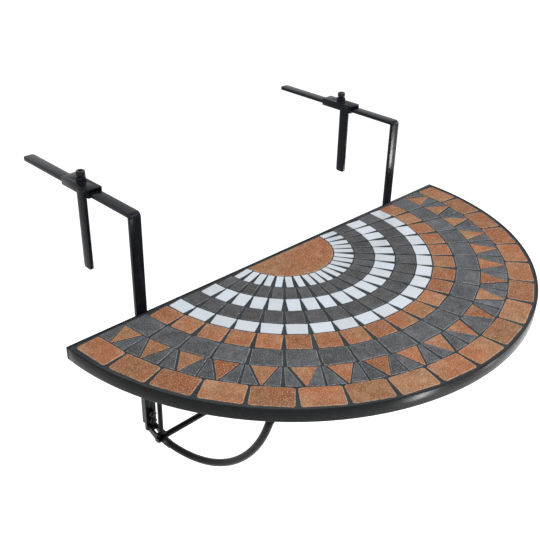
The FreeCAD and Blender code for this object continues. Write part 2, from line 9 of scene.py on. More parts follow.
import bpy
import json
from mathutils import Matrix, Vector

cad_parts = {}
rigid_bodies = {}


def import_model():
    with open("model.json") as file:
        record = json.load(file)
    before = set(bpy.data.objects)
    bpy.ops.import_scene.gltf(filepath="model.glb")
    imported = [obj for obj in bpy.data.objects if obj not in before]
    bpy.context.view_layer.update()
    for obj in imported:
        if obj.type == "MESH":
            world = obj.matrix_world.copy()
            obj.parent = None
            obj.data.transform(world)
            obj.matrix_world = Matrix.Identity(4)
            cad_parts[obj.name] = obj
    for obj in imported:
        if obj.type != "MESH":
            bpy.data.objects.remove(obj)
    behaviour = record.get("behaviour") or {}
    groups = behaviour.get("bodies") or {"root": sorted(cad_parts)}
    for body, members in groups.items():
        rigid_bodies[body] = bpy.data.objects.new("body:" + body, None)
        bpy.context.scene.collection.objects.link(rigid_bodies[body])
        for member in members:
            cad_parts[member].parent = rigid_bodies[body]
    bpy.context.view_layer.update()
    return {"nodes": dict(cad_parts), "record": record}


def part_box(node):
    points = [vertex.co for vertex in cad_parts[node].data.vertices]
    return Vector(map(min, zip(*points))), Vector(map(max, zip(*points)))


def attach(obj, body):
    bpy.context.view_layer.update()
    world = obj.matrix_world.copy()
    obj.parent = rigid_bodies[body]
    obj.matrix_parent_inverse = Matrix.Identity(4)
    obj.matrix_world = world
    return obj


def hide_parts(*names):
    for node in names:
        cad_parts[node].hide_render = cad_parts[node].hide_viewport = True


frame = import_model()

# %% [markdown]
# ## One millimetre
#
# The frame is in metres, but steel and tiles are sized in millimetres. The
# whole scene could be scaled up, but then nothing would match the frame, so
# one name for a millimetre is the simpler way. The modules are Blender's own
# and Python's.

# %% Modules and one millimetre
import json
import math
import random

import bmesh
import bpy
from mathutils import Matrix, Vector

MM = 0.001
print("nodes:", len(frame["nodes"]))

# %% [markdown]
# ## Where things are
#
# The solid parts tell us where every bead, thread and tile belongs. Those
# places could be typed in, but then a change of the model would leave them
# behind, so we read them. A box's two corners are enough for nearly
# everything, because the parts sit square in the frame.


# %% Corners, middles and spans
def corners(node):
    low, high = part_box(node)
    return Vector(low), Vector(high)


def middle(node):
    low, high = corners(node)
    return (low + high) / 2


def span(node):
    low, high = corners(node)
    return high - low


surface_z = corners("back_bar")[1].z
print("table top at", round(surface_z, 4), "m")

# %% [markdown]
# ## Finishes are small node trees
#
# A finish is a Principled shader with a few procedural textures in front of
# it. The same handful of nodes comes back each time: a place on the object, a
# noise, a ramp that turns noise into colour, and a bump that turns noise into
# relief. They could be wired one by one in each material. A small class keeps
# the wiring out of sight instead, so that each finish below reads like a
# recipe. Its first layer adds nodes and fills their sockets.


# %% Nodes and sockets
class NodeTree:
    def __init__(self, name):
        self.material = bpy.data.materials.new(name)
        self.material.use_nodes = True
        self.nodes = self.material.node_tree.nodes
        self.links = self.material.node_tree.links
        self.shader = self.nodes["Principled BSDF"]
        self.place = self.add("ShaderNodeTexCoord").outputs["Object"]

    def add(self, kind, **settings):
        node = self.nodes.new(kind)
        for key, value in settings.items():
            setattr(node, key, value)
        return node

    def put(self, socket, value):
        """Link a socket to another, or write a plain value on it."""
        if isinstance(value, bpy.types.NodeSocket):
            self.links.new(value, socket)
        elif isinstance(value, tuple) and len(value) == 3 and socket.type == "RGBA":
            socket.default_value = (*value, 1)
        else:
            socket.default_value = value

    def show(self, **sockets):
        for name, value in sockets.items():
            self.put(self.shader.inputs[name.replace("_", " ")], value)
        return self.material


print("a socket takes a link or a plain value")


# %% [markdown]
# ## Patterns that stay on the object
#
# Paint, clay and cement change from place to place, so a finish starts from a
# pattern: a noise, the same noise moved far away so that two patterns don't
# fall together, a coordinate, or a number that was stored on the mesh. All of
# them belong to the object and not to the room, so they travel with a piece
# that folds, and they need no picture and no unwrapping.


# %% Patterns
class Patterned(NodeTree):
    def noise(self, scale, detail=4, roughness=0.55, distortion=0, place=None):
        node = self.add("ShaderNodeTexNoise")
        self.put(node.inputs["Vector"], place or self.place)
        node.inputs["Scale"].default_value = scale
        node.inputs["Detail"].default_value = detail
        node.inputs["Roughness"].default_value = roughness
        node.inputs["Distortion"].default_value = distortion
        return node.outputs["Fac"]

    def moved(self, offset):
        """The same place, far enough away for another pattern."""
        node = self.add("ShaderNodeMapping")
        self.put(node.inputs["Vector"], self.place)
        node.inputs["Location"].default_value = offset
        return node.outputs["Vector"]

    def across(self):
        """The coordinate along the railing."""
        node = self.add("ShaderNodeSeparateXYZ")
        self.put(node.inputs["Vector"], self.place)
        return node.outputs["X"]

    def painted_on(self, name):
        """A value that was stored on the mesh, such as one per tile."""
        node = self.add("ShaderNodeAttribute", attribute_name=name)
        return node.outputs["Fac"]


print("patterns: noise, moved, across, painted_on")


# %% [markdown]
# ## Colour, gloss and relief
#
# The last layer turns patterns into what we see. A ramp gives a noise its
# colours and its contrast, a mix lays one colour over another, a spread keeps
# the gloss between two values, and a bump node gives the fine relief that
# would be far too small to model.


# %% A whole finish
class Finish(Patterned):
    def ramp(self, amount, stops):
        node = self.add("ShaderNodeValToRGB")
        self.put(node.inputs["Fac"], amount)
        ends = node.color_ramp.elements
        while len(ends) < len(stops):
            ends.new(0.5)
        for end, (position, colour) in zip(ends, stops):
            end.position = position
            end.color = (*colour, 1) if isinstance(colour, tuple) else (colour,) * 3 + (1,)
        return node.outputs["Color"]

    def mix(self, amount, first, second, blend="MIX"):
        node = self.add("ShaderNodeMix", data_type="RGBA", blend_type=blend)
        self.put(node.inputs["Factor"], amount)
        self.put(node.inputs["A"], first)
        self.put(node.inputs["B"], second)
        return node.outputs["Result"]

    def sum(self, first, second, operation="ADD"):
        node = self.add("ShaderNodeMath", operation=operation)
        self.put(node.inputs[0], first)
        self.put(node.inputs[1], second)
        return node.outputs["Value"]

    def spread(self, amount, low, high):
        node = self.add("ShaderNodeMapRange")
        self.put(node.inputs["Value"], amount)
        node.inputs["To Min"].default_value = low
        node.inputs["To Max"].default_value = high
        return node.outputs["Result"]

    def relief(self, height, depth, strength=1.0, below=None):
        """A bump whose depth is in metres."""
        node = self.add("ShaderNodeBump")
        node.inputs["Strength"].default_value = strength
        node.inputs["Distance"].default_value = depth
        self.put(node.inputs["Height"], height)
        if below:
            self.put(node.inputs["Normal"], below)
        return node.outputs["Normal"]


print("finish helpers ready")


# %% [markdown]
# ## Black lacquer on steel
#
# The frame is lacquered black. Real lacquer is never one flat black: it has a
# fine orange-peel relief, it dries a little unevenly, so its gloss wanders,
# and a thin veil of dust lies on it. The gloss does most of the work, because
# on black we see reflections and hardly any colour. The legs are bluer than
# the rim and the rods are duller, so one recipe takes a tone and a gloss and
# serves all three. The specular level is low, so that the white room doesn't
# turn the black to grey.


# %% Lacquer recipe
def lacquer(name, tone, dull, shiny, mirror):
    finish = Finish(name)
    drift = finish.noise(9, 3)
    deep = tuple(channel * 0.6 for channel in tone)
    colour = finish.mix(drift, deep, tone)
    dust = finish.ramp(finish.noise(160, 6, 0.7), [(0.55, 0.0), (0.85, 0.025)])
    colour = finish.mix(1.0, colour, dust, "ADD")
    gloss = finish.spread(finish.noise(26, 5, 0.6), shiny, dull)
    peel = finish.relief(finish.noise(420, 2), 0.0001, 0.15)
    wave = finish.relief(finish.noise(45, 2), 0.0006, 0.2, peel)
    return finish.show(Base_Color=colour, Roughness=gloss, Normal=wave, Metallic=0.0,
                       Specular_IOR_Level=mirror)


rim_lacquer = lacquer("rim_lacquer", (0.009, 0.010, 0.011), 0.28, 0.16, 0.14)
leg_lacquer = lacquer("leg_lacquer", (0.007, 0.009, 0.014), 0.30, 0.18, 0.12)
rod_lacquer = lacquer("rod_lacquer", (0.007, 0.008, 0.009), 0.34, 0.22, 0.1)
print("lacquers:", rim_lacquer.name, leg_lacquer.name, rod_lacquer.name)


# %% [markdown]
# ## Blackened fasteners
#
# Bolts, nuts, pins and clamp screws are zinc plated and blackened. The lacquer
# would do from far away, but zinc is metallic, with a faint brown bloom and
# small bright rubs where a spanner has touched it, so it gets its own recipe.


# %% Black zinc
def black_zinc():
    finish = Finish("black_zinc")
    bloom = finish.ramp(finish.noise(60, 5, 0.6),
                        [(0.35, (0.018, 0.020, 0.026)), (0.7, (0.045, 0.042, 0.040))])
    rubs = finish.ramp(finish.noise(240, 6, 0.75), [(0.62, 0.0), (0.75, 0.12)])
    colour = finish.mix(1.0, bloom, rubs, "ADD")
    gloss = finish.spread(finish.noise(90, 4), 0.28, 0.5)
    grain = finish.relief(finish.noise(900, 3), 0.00006, 0.5)
    return finish.show(Base_Color=colour, Roughness=gloss, Normal=grain, Metallic=0.85)


zinc = black_zinc()
print("fasteners:", zinc.name)


# %% [markdown]
# ## The skin of a weld bead
#
# A bead is lacquered with the rest of the frame, so it keeps the lacquer's
# black. Its skin is rougher, and a fine soot-like grain shows on it, which is
# why it gets more relief and less gloss.


# %% Bead finish
def bead_lacquer():
    finish = Finish("bead_lacquer")
    soot = finish.ramp(finish.noise(300, 5, 0.7),
                       [(0.3, (0.006, 0.006, 0.007)), (0.75, (0.022, 0.021, 0.020))])
    gloss = finish.spread(finish.noise(150, 4), 0.3, 0.55)
    pits = finish.relief(finish.noise(700, 4, 0.7), 0.0002, 0.6)
    return finish.show(Base_Color=soot, Roughness=gloss, Normal=pits, Metallic=0.0,
                       Specular_IOR_Level=0.2)


weld = bead_lacquer()
print("bead finish:", weld.name)


# %% [markdown]
# ## Specks and rubbed edges
#
# All the matt tiles share two marks: grains of another colour, about a
# millimetre across, and edges that were rubbed pale when the grout was wiped
# off. The edge could be found from the mesh's shape, but that takes long to
# render. So each tile's mesh stores a number, one at the edge and zero inside
# it, which the recipe reads back with an Attribute node.


# %% Specks and rubbed edges
def speckled(finish, colour, scale, low, amount, speck):
    """Grains of another colour where a fine noise passes a level."""
    grains = finish.ramp(finish.noise(scale, 3, 0.7), [(low, 0.0), (low + 0.09, 1.0)])
    return finish.mix(finish.sum(grains, amount, "MULTIPLY"), colour, speck)


def rubbed(finish, colour, amount, pale):
    """Paler along the stored tile edge, and broken up by a noise."""
    edge = finish.painted_on("tile_edge")
    broken = finish.ramp(finish.noise(340, 4, 0.7), [(0.38, 0.0), (0.62, amount)])
    return finish.mix(finish.sum(edge, broken, "MULTIPLY"), colour, pale)


print("tile recipe helpers ready")


# %% [markdown]
# ## Fired clay
#
# The orange tiles are terracotta. Two things make it look fired and not
# painted: its grain of pale and dark specks, and a hue that wanders from tan
# to red over a few centimetres, as the kiln's heat did. Each tile came from
# its own place in the kiln, so its tone differs from its neighbour's, and that
# tone is a second number on its mesh. The half disc in the middle is one large
# piece, whose hue drifts from one end to the other.


# %% Terracotta
def terracotta(name, drift):
    finish = Finish(name)
    tone = finish.painted_on("tile_tone")
    hue = finish.noise(16, 3, 0.5)
    if drift:
        hue = finish.sum(hue, finish.sum(finish.across(), drift, "MULTIPLY"))
    tan = finish.ramp(finish.noise(85, 6, 0.7),
                      [(0.30, (0.225, 0.105, 0.050)), (0.52, (0.350, 0.172, 0.084)),
                       (0.75, (0.450, 0.255, 0.140))])
    red = finish.ramp(finish.noise(85, 6, 0.7),
                      [(0.30, (0.250, 0.080, 0.032)), (0.52, (0.385, 0.132, 0.054)),
                       (0.75, (0.460, 0.195, 0.092))])
    colour = finish.mix(finish.ramp(hue, [(0.38, 0.0), (0.60, 1.0)]), tan, red)
    bloom = finish.ramp(finish.noise(42, 4, 0.6, 0.6), [(0.54, 0.0), (0.74, 0.55)])
    colour = finish.mix(bloom, colour, (0.50, 0.34, 0.23))
    smoke = finish.ramp(finish.noise(34, 4, 0.6, 0.4, finish.moved((3, 1, 2))),
                        [(0.56, 0.0), (0.76, 0.5)])
    colour = finish.mix(smoke, colour, (0.17, 0.075, 0.045))
    firing = finish.ramp(tone, [(0.0, (0.66, 0.57, 0.49)), (0.45, (0.85, 0.77, 0.70)),
                                (1.0, (1.04, 1.04, 1.06))])
    colour = finish.mix(1.0, colour, firing, "MULTIPLY")
    colour = speckled(finish, colour, 600, 0.53, 0.75, (0.60, 0.43, 0.30))
    colour = speckled(finish, colour, 430, 0.56, 0.65, (0.18, 0.070, 0.033))
    colour = rubbed(finish, colour, 0.75, (0.58, 0.42, 0.30))
    gloss = finish.spread(finish.noise(120, 4), 0.55, 0.8)
    grain = finish.relief(finish.noise(800, 5, 0.7), 0.0003, 0.6)
    waves = finish.relief(finish.noise(60, 3), 0.0008, 0.3, grain)
    return finish.show(Base_Color=colour, Roughness=gloss, Normal=waves,
                       Specular_IOR_Level=0.15)


clay = terracotta("terracotta", 0)
disc_clay = terracotta("disc_clay", 1.6)
print("clays:", clay.name, disc_clay.name)


# %% [markdown]
# ## Slate and the dark tiles
#
# The blue-grey pieces are cut from slate-like stoneware and the dark rings
# from a darker one. Both show a fine grain, pale on dark, and a thin rubbed
# edge. Two materials could be written out, but only their tones differ, so one
# recipe serves both.


# %% Stoneware recipe
def stoneware(name, deep, mid, pale):
    finish = Finish(name)
    tone = finish.painted_on("tile_tone")
    colour = finish.ramp(finish.noise(70, 6, 0.68, 0.4),
                         [(0.30, deep), (0.52, mid), (0.74, pale)])
    cloud = finish.ramp(finish.noise(26, 4, 0.6, 0.8, finish.moved((1, 4, 2))),
                        [(0.34, (0.74, 0.73, 0.72)), (0.52, (1.0, 1.0, 1.0)),
                         (0.70, (1.22, 1.25, 1.30))])
    colour = finish.mix(1.0, colour, cloud, "MULTIPLY")
    batch = finish.ramp(tone, [(0.0, 0.80), (0.5, 1.0), (1.0, 1.2)])
    colour = finish.mix(1.0, colour, batch, "MULTIPLY")
    bright = tuple(channel * 2.2 for channel in pale)
    colour = speckled(finish, colour, 650, 0.54, 0.6, bright)
    colour = speckled(finish, colour, 460, 0.55, 0.65, deep)
    colour = rubbed(finish, colour, 0.9, bright)
    gloss = finish.spread(finish.noise(80, 4), 0.45, 0.7)
    grain = finish.relief(finish.noise(650, 5, 0.7), 0.0004, 0.8)
    waves = finish.relief(finish.noise(40, 3, 0.5, 0.8), 0.0009, 0.25, grain)
    return finish.show(Base_Color=colour, Roughness=gloss, Normal=waves,
                       Specular_IOR_Level=0.2)


slate = stoneware("slate", (0.040, 0.042, 0.046), (0.074, 0.077, 0.083),
                  (0.140, 0.146, 0.156))
dark_stone = stoneware("dark_stone", (0.040, 0.040, 0.042), (0.066, 0.066, 0.069),
                       (0.105, 0.105, 0.108))
print("stoneware:", slate.name, dark_stone.name)


# %% [markdown]
# ## White glaze
#
# The white tiles are the only shiny ones. Their glaze is a cool white, nearly
# even, and some tiles came out warmer than others. A low roughness alone looks
# like plastic, so there is a little coat over a slightly rough base, which
# gives the soft double reflection of fired glaze.


# %% Glaze
def white_glaze():
    finish = Finish("white_glaze")
    tone = finish.painted_on("tile_tone")
    cloud = finish.ramp(finish.noise(55, 4, 0.55),
                        [(0.3, (0.585, 0.636, 0.697)), (0.7, (0.630, 0.680, 0.737))])
    batch = finish.ramp(tone, [(0.0, (0.93, 0.92, 0.90)), (0.6, (1.0, 1.0, 1.0)),
                               (1.0, (1.03, 1.04, 1.06))])
    colour = finish.mix(1.0, cloud, batch, "MULTIPLY")
    colour = speckled(finish, colour, 480, 0.66, 0.3, (0.35, 0.37, 0.40))
    gloss = finish.spread(finish.noise(70, 3), 0.22, 0.38)
    pool = finish.relief(finish.noise(95, 2), 0.0005, 0.25)
    return finish.show(Base_Color=colour, Roughness=gloss, Normal=pool,
                       Coat_Weight=0.2, Coat_Roughness=0.15)


glaze = white_glaze()
print("glaze:", glaze.name)


# %% [markdown]
# ## Grout and mortar
#
# Grout is dyed cement rubbed into the joints. It dries to a dark blue-grey,
# sandy and quite matt, paler where cement bloom has come to the top. The bed
# below is undyed and has coarser sand, so the same recipe takes other tones.


# %% Cement recipe
def cement(name, deep, pale, sand):
    finish = Finish(name)
    bloom = finish.ramp(finish.noise(38, 6, 0.65), [(0.32, deep), (0.72, pale)])
    grains = finish.ramp(finish.noise(sand, 3, 0.7), [(0.58, 0.0), (0.72, 1.0)])
    colour = finish.mix(finish.sum(grains, 0.35, "MULTIPLY"), bloom,
                        tuple(channel * 2.2 for channel in pale))
    gloss = finish.spread(finish.noise(110, 4), 0.72, 0.92)
    rub = finish.relief(finish.noise(sand, 5, 0.75), 0.0005, 0.8)
    waves = finish.relief(finish.noise(90, 3), 0.0012, 0.4, rub)
    return finish.show(Base_Color=colour, Roughness=gloss, Normal=waves,
                       Specular_IOR_Level=0.25)


grout = cement("grout", (0.020, 0.024, 0.027), (0.044, 0.052, 0.058), 900)
mortar = cement("mortar", (0.10, 0.10, 0.095), (0.17, 0.165, 0.155), 500)
print("cement:", grout.name, mortar.name)


# %% [markdown]
# ## Rubber
#
# The pads under the braces, where the curved rod bears, are moulded rubber.
# Plain black would look like a hole, so the rubber is a matt black with a
# faint grey dusting.


# %% Rubber
def pad_rubber():
    finish = Finish("pad_rubber")
    colour = finish.ramp(finish.noise(130, 4, 0.65),
                         [(0.35, (0.012, 0.012, 0.012)), (0.75, (0.032, 0.031, 0.030))])
    gloss = finish.spread(finish.noise(70, 3), 0.62, 0.85)
    skin = finish.relief(finish.noise(1000, 3), 0.0001, 0.5)
    return finish.show(Base_Color=colour, Roughness=gloss, Normal=skin)


rubber = pad_rubber()
print("rubber:", rubber.name)


# %% [markdown]
# ## Which body carries a node
#
# Each new piece rides on one moving body. A list of pieces and bodies could be
# typed in, but the record already says which body holds each node, so a piece
# that stands for a node looks it up.


# %% Bodies and slots of the nodes
body_of = {}
for body, members in frame["record"]["behaviour"]["bodies"].items():
    for member in members:
        body_of[member] = body


def add_piece(name, mesh, material, body):
    piece = bpy.data.objects.new(name, mesh)
    bpy.context.scene.collection.objects.link(piece)
    mesh.materials.append(material)
    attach(piece, body)
    return piece


def stand_in(name, node, mesh, material):
    """A piece that rides where the node rides, and is shown instead of it."""
    piece = add_piece(name, mesh, material, body_of[node])
    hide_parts(node)


print("nodes with a body:", len(body_of))


# %% [markdown]
# ## Softened steel
#
# Rolled flat bar has small round edges, and lacquer rounds them further. A
# perfectly sharp edge never catches the light, which is what gives a computer
# model away. A bevel modifier would do it, but the solids come as triangles,
# on which a bevel goes wrong. So each steel part is copied, its triangles are
# joined back into clean faces, and the sharp edges of the copy are bevelled.
# The copy then stands for the solid, which itself is never changed.


# %% A copy with clean faces
SAME_POINT = 0.005 * MM
SAME_PLANE = math.radians(1)


def tidy_copy(node):
    shape = bmesh.new()
    shape.from_mesh(frame["nodes"][node].data)
    bmesh.ops.remove_doubles(shape, verts=shape.verts, dist=SAME_POINT)
    bmesh.ops.dissolve_limit(shape, angle_limit=SAME_PLANE,
                             verts=shape.verts, edges=shape.edges)
    return shape


def shade_smooth(mesh, crease=None):
    """Smooth shading, but for edges that bend by more than the crease."""
    for face in mesh.polygons:
        face.use_smooth = True
    if crease:
        mesh.set_sharp_from_angle(angle=math.radians(crease))


print("joined within", SAME_POINT / MM, "mm")


# %% [markdown]
# ## One radius per kind of part
#
# A bar's edge has a larger radius than a thin leaf's, and the bevel may not
# eat more than a thin part has. So every kind of part gets its own radius,
# from 0.4 to 0.8 mm. The rim bends all the way round, so there the bevel is
# kept to edges sharper than 60 degrees.


# %% Bevel the sharp edges
def soften(node, material, radius, steps=2, sharp=40):
    shape = tidy_copy(node)
    edges = [edge for edge in shape.edges
             if len(edge.link_faces) == 2
             and edge.calc_face_angle(0) > math.radians(sharp)]
    bmesh.ops.bevel(shape, geom=edges, offset=radius, offset_type="OFFSET",
                    segments=steps, profile=0.5, affect="EDGES", clamp_overlap=True)
    mesh = bpy.data.meshes.new(f"soft_{node}")
    shape.to_mesh(mesh)
    shape.free()
    shade_smooth(mesh, crease=35)
    stand_in(f"soft_{node}", node, mesh, material)


SIDES = ("left", "right")
side_radii = [
    ("hanger", leg_lacquer, 0.7),
    ("front_plate", leg_lacquer, 0.7),
    ("hinge_lug", rod_lacquer, 0.5),
    ("foot_lug", rod_lacquer, 0.6),
    ("sleeve", leg_lacquer, 0.5),
    ("finger", leg_lacquer, 0.7),
    ("hinge_leaf", rod_lacquer, 0.4),
    ("brace", rod_lacquer, 0.5),
]
for side in SIDES:
    for part, material, radius in side_radii:
        soften(f"{side}_{part}", material, radius * MM)
soften("back_bar", rim_lacquer, 0.8 * MM)
soften("rim_hoop", rim_lacquer, 0.8 * MM, sharp=60)
print("softened steel parts:", len(SIDES) * len(side_radii) + 2)


# %% [markdown]
# ## Round rods and small hardware
#
# Rods, pins and washers already have the right shape: a rod is round and has
# no edge to soften. They could be rebuilt, but a change of finish is enough,
# so we assign to the material slots of the loaded nodes.


# %% Finish the nodes that stay
kept = {
    rod_lacquer: ["left_stay_rod", "right_stay_rod", "foot_cross_rod", "left_bow_arm",
                  "right_bow_arm", "bow_cross_run", "bottom_sheet"],
    zinc: ["hinge_pins", "leaf_rivets", "plate_washers", "left_screw_pad", "right_screw_pad"],
    mortar: ["mortar_bed"],
    rubber: ["rest_pads"],
}
for material, nodes in kept.items():
    for node in nodes:
        for holder in frame["nodes"][node].material_slots:
            holder.material = material
print("kept nodes:", sum(len(nodes) for nodes in kept.values()))


# %% [markdown]
# ## Chamfered nuts and headed pins
#
# A real hexagon nut is chamfered, a bolt's head is slightly domed and its end
# is a small cone, and a pin's head is rounded. Each could be turned on its
# own, but at this size a slightly wider bevel with more steps gives them all.


# %% Hardware with wider bevels
soften("plate_nuts", zinc, 0.8 * MM)
soften("plate_bolts", zinc, 1.0 * MM, steps=3)
soften("bow_pins", zinc, 1.1 * MM, steps=3)
for side in SIDES:
    soften(f"{side}_weld_nut", leg_lacquer, 1.0 * MM)
print("nuts, bolts and pins chamfered")


# %% [markdown]
# ## Hand-cut tiles
#
# The mosaic is the face of this table. Its tiles were nipped and laid by hand:
# their outlines wander by a few tenths of a millimetre, their top edges are
# rounded, no two sit at quite the same height, and each has its own tone. A
# bump could fake some of that, but the light along the edges would be wrong.
# So we build each tile anew. The solid nodes say where it is: the first step
# reads the outline of its top.


# %% Outline of each tile in a node
def tile_outlines(node):
    """Corner points of the top face of every separate tile."""
    shape = tidy_copy(node)
    top = max(vertex.co.z for vertex in shape.verts)
    outlines = []
    for face in shape.faces:
        at_top = abs(face.calc_center_median().z - top) < 0.01 * MM
        if at_top and face.normal.z > 0.99:
            outlines.append([vertex.co.copy() for vertex in face.verts])
    shape.free()
    return outlines


print("clay ring tiles:", len(tile_outlines("clay_ring")))


# %% [markdown]
# ## Wedge joints and short steps
#
# Most tiles are nearly square, so on the curve their joints open outwards to
# wedges. We narrow each outline towards its outer end, by moving its points
# towards the line from the middle of the back edge through the tile. Then the
# outline is walked in short steps, because a hand-nipped edge can only wander
# where it has points.


# %% Taper and walk an outline
def tapered(outline, wedge):
    """The outline with its outer end narrowed by a wedge on each side."""
    hub = Vector((0, corners("back_bar")[1].y, 0))
    outwards = sum(outline, Vector()) / len(outline) - hub
    outwards.z = 0
    outwards.normalize()
    aside = Vector((-outwards.y, outwards.x, 0))
    reaches = [(point - hub).dot(outwards) for point in outline]
    sides = [(point - hub).dot(aside) for point in outline]
    half = max(abs(side) for side in sides)
    depth = max(reaches) - min(reaches)
    points = []
    for point, reach, side in zip(outline, reaches, sides):
        share = (reach - min(reaches)) / depth
        points.append(point - aside * wedge * MM * share * side / half)
    return points


def walked(outline, step):
    """The outline again, with points at most one step apart."""
    points = []
    count = len(outline)
    for number in range(count):
        start = outline[number]
        end = outline[(number + 1) % count]
        parts = max(1, round((end - start).length / step))
        for part in range(parts):
            points.append(start.lerp(end, part / parts))
    return points


OUTLINE_STEP = 2.6
first_tile = tile_outlines("clay_ring")[0]
print("points round a clay tile:", len(walked(first_tile, OUTLINE_STEP * MM)))


# %% [markdown]
# ## Inwards, whatever the shape
#
# A worn tile is smaller than a new one on every side. Scaling it down would
# change a long tile more at its ends, so each point moves along the inward
# normal of its own stretch instead, which keeps the shape. Corners are found
# too, because they may come in a little further.


# %% Inward directions
def inward_normals(points):
    normals = []
    count = len(points)
    for number in range(count):
        before = points[number - 1]
        after = points[(number + 1) % count]
        along = (after - before).normalized()
        normals.append(Vector((-along.y, along.x, 0)))
    return normals


STRAIGHT_ON = 0.9


def is_corner(points, number):
    """Whether the outline bends by more than about 25 degrees there."""
    before = (points[number] - points[number - 1]).normalized()
    after = (points[(number + 1) % len(points)] - points[number]).normalized()
    return before.dot(after) < STRAIGHT_ON


corner_count = sum(is_corner(first_tile, number) for number in range(len(first_tile)))
print("corners of a clay tile:", corner_count)


# %% [markdown]
# ## From loops to a closed shape
#
# Tiles, grout, screws and weld beads are all stacks of loops with the same
# number of points. Each pair of neighbouring loops is joined by a band of
# faces, and the first and last loop become the ends. Blender then turns all
# the faces outwards, because a face that looks inwards shades wrongly.


# %% Closed shapes and their meshes
def close_loops(shape, loops):
    for below, above in zip(loops, loops[1:]):
        for number in range(len(below)):
            follow = (number + 1) % len(below)
            shape.faces.new((below[number], below[follow], above[follow], above[number]))
    shape.faces.new(loops[0][::-1])
    shape.faces.new(loops[-1])


def finished_mesh(name, shape):
    bmesh.ops.recalc_face_normals(shape, faces=shape.faces)
    mesh = bpy.data.meshes.new(name)
    shape.to_mesh(mesh)
    shape.free()
    return mesh


print("loops can be closed")


# %% [markdown]
# ## One tile
#
# A tile is five loops: its foot, two round the shoulder, the edge of the top,
# and one just inside it where the rubbed edge ends. Every point is pulled in
# by a little noise, and the whole tile sinks and leans by a hair, as tiles do
# in soft mortar. Its tone and its edge are stored on its points for the
# recipes above. Lengths are in millimetres here, as a tiler would say them.


# %% Build one tile
DEEPEST_SINK = 0.25
STEEPEST_LEAN = 0.004


def tile_profile(shoulder, worn):
    """Inset, depth below the top and edge value of each loop."""
    return ((0.0, None, 1.0),
            (0.0, shoulder, 1.0),
            (shoulder * 0.45, shoulder * 0.25, 1.0),
            (shoulder, 0.0, 1.0),
            (shoulder + worn, 0.0, 0.0))


def lay_tile(shape, layers, outline, heights, dice, wander, corner, profile):
    tone_layer, edge_layer = layers
    foot, top = heights
    tone = dice.random()
    sink = dice.uniform(0, DEEPEST_SINK) * MM
    tilt = Vector((dice.uniform(-1, 1), dice.uniform(-1, 1), 0)) * STEEPEST_LEAN
    points = walked(outline, OUTLINE_STEP * MM)
    normals = inward_normals(points)
    centre = sum(points, Vector()) / len(points)
    pulls = []
    for number in range(len(points)):
        pull = dice.uniform(0, wander)
        if is_corner(points, number):
            pull += corner
        pulls.append(pull)
    loops = []
    for inset, depth, edge in profile:
        loop = []
        for point, normal, pull in zip(points, normals, pulls):
            place = point + normal * (pull + inset) * MM
            if depth is None:
                place.z = foot
            else:
                lean = (place - centre).dot(tilt)
                place.z = top - sink - depth * MM + min(lean, 0)
            vertex = shape.verts.new(place)
            vertex[tone_layer] = tone
            vertex[edge_layer] = edge
            loop.append(vertex)
        loops.append(loop)
    close_loops(shape, loops)


print("loops per tile:", len(tile_profile(0.5, 1.0)))


# %% [markdown]
# ## Laying the rings
#
# Every ring is one piece, because its tiles share a finish and never move
# apart. The plan gives each ring its finish and five measures in millimetres:
# how far the edge wanders, how wide the shoulder is, how much more the corners
# come in, how wide the rubbed edge is, and the wedge on each side. The random
# numbers of each ring start from its own seed, so the table comes out the same
# every time.


# %% Lay all the rings
def lay_tiles(node, material, wander, shoulder, corner, worn, wedge, seed):
    dice = random.Random(seed)
    low, high = corners(node)
    shape = bmesh.new()
    layers = [shape.verts.layers.float.new(name) for name in ("tile_tone", "tile_edge")]
    profile = tile_profile(shoulder, worn)
    for outline in tile_outlines(node):
        lay_tile(shape, layers, tapered(outline, wedge), (low.z, high.z), dice,
                 wander, corner, profile)
    mesh = finished_mesh(f"laid_{node}", shape)
    for face in mesh.polygons:
        face.use_smooth = len(face.vertices) == 4
    stand_in(f"laid_{node}", node, mesh, material)
    return len(mesh.vertices)


FIRST_SEED = 40
tile_plan = [
    ("centre_half_disc", disc_clay, 0.10, 0.7, 0.0, 1.2, 0.0),
    ("inner_white_ring", glaze, 0.14, 0.4, 0.15, 0.5, 0.2),
    ("inner_dark_ring", dark_stone, 0.22, 0.4, 0.2, 0.8, 0.5),
    ("middle_white_ring", glaze, 0.14, 0.4, 0.15, 0.5, 0.9),
    ("outer_dark_ring", dark_stone, 0.25, 0.4, 0.2, 0.8, 0.6),
    ("outer_white_ring", glaze, 0.14, 0.4, 0.15, 0.5, 1.2),
    ("clay_ring", clay, 0.28, 0.5, 0.35, 1.0, 0.6),
    ("slate_ring", slate, 0.28, 0.45, 0.35, 1.1, 0.3),
    ("border_ring", clay, 0.28, 0.6, 0.1, 1.1, 0.9),
    ("clay_triangles", clay, 0.15, 0.3, 0.0, 0.4, 0.0),
    ("slate_pieces", slate, 0.15, 0.4, 0.0, 0.8, 0.0),
]
for number, (node, material, *trims) in enumerate(tile_plan):
    total = lay_tiles(node, material, *trims, FIRST_SEED + number)
    print(node, "points:", total)


# %% [markdown]
# ## Grout between the tiles
#
# The solid grout is a plate with a hole for each tile. Seen close, the tiles
# are now a hair smaller than those holes, and the gaps would show. The holes
# could be cut again, but a plate without any is simpler and looks the same:
# the tiles stand in it, as they do in wet grout. Its half round is worked out
# from the plate's box and the line of the back edge.


# %% One plate of grout
ARC_STEPS = 180


